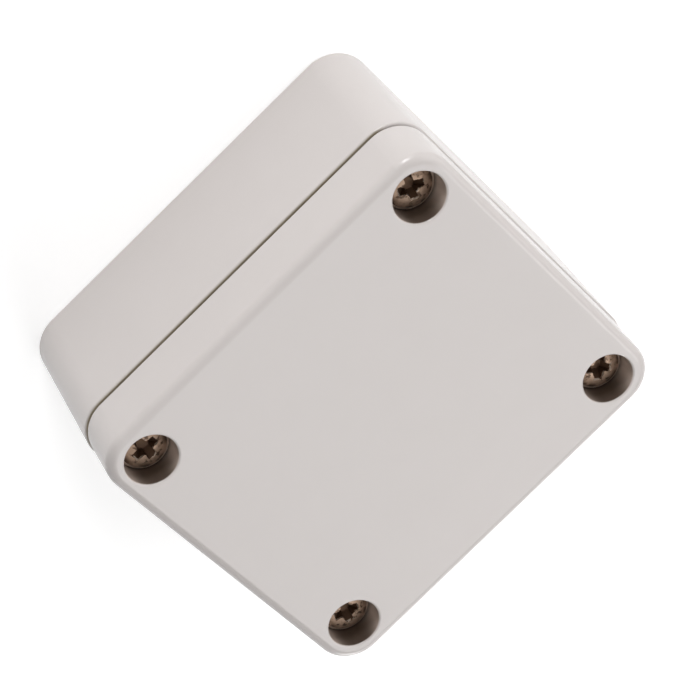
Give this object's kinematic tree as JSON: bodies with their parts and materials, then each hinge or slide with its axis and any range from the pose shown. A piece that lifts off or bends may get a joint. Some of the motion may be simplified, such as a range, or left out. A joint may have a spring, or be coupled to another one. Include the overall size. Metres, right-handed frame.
{
  "type": "junction box",
  "caption": "Small sealed rectangular plastic junction box: moulded base, gasketed lift-off lid held by low cross-recess screws in deep corner wells.",
  "frame": {"origin": "centre of the back face of the base", "axes": "+X along the long side, +Y along the short side, +Z from the back face to the lid face"},
  "size_m": [0.064, 0.058, 0.035],
  "materials": {
    "shell_plastic": "satin moulded, light warm grey",
    "seal_rubber": "matt black seal cord",
    "screw_metal": "plated steel, slightly warm",
    "washer_metal": "plated steel",
    "insert_brass": "turned"
  },
  "bodies": {
    "base": {"base_shell": "shell_plastic", "thread_insert_1": "insert_brass", "thread_insert_2": "insert_brass", "thread_insert_3": "insert_brass", "thread_insert_4": "insert_brass"},
    "lid": {"lid_shell": "shell_plastic", "lid_gasket": "seal_rubber"},
    "washer_1": {"screw_washer_1": "washer_metal"},
    "screw_1": {"lid_screw_1": "screw_metal"},
    "washer_2": {"screw_washer_2": "washer_metal"},
    "screw_2": {"lid_screw_2": "screw_metal"},
    "washer_3": {"screw_washer_3": "washer_metal"},
    "screw_3": {"lid_screw_3": "screw_metal"},
    "washer_4": {"screw_washer_4": "washer_metal"},
    "screw_4": {"lid_screw_4": "screw_metal"}
  },
  "joints": [
    {"name": "lid_lift", "type": "slide", "parent": "base", "child": "lid", "axis": [0, 0, 1], "range_m": [0, 0.04]},
    {"name": "screw_rise_1", "type": "slide", "parent": "lid", "child": "washer_1", "axis": [0, 0, 1], "range_m": [0, 0.0066]},
    {"name": "screw_turn_1", "type": "hinge", "parent": "washer_1", "child": "screw_1", "pos_m": [-0.0256, -0.0226, 0.0309], "axis": [0, 0, 1], "range_deg": [0, 3961]},
    {"name": "screw_rise_2", "type": "slide", "parent": "lid", "child": "washer_2", "axis": [0, 0, 1], "range_m": [0, 0.0066]},
    {"name": "screw_turn_2", "type": "hinge", "parent": "washer_2", "child": "screw_2", "pos_m": [0.0256, -0.0226, 0.0309], "axis": [0, 0, 1], "range_deg": [0, 3961]},
    {"name": "screw_rise_3", "type": "slide", "parent": "lid", "child": "washer_3", "axis": [0, 0, 1], "range_m": [0, 0.0066]},
    {"name": "screw_turn_3", "type": "hinge", "parent": "washer_3", "child": "screw_3", "pos_m": [0.0256, 0.0226, 0.0309], "axis": [0, 0, 1], "range_deg": [0, 3961]},
    {"name": "screw_rise_4", "type": "slide", "parent": "lid", "child": "washer_4", "axis": [0, 0, 1], "range_m": [0, 0.0066]},
    {"name": "screw_turn_4", "type": "hinge", "parent": "washer_4", "child": "screw_4", "pos_m": [-0.0256, 0.0226, 0.0309], "axis": [0, 0, 1], "range_deg": [0, 3961]}
  ],
  "couplings": [
    {"joint": "screw_turn_1", "follows": "screw_rise_1", "rad_per_m": 10472},
    {"joint": "screw_turn_2", "follows": "screw_rise_2", "rad_per_m": 10472},
    {"joint": "screw_turn_3", "follows": "screw_rise_3", "rad_per_m": 10472},
    {"joint": "screw_turn_4", "follows": "screw_rise_4", "rad_per_m": 10472}
  ]
}
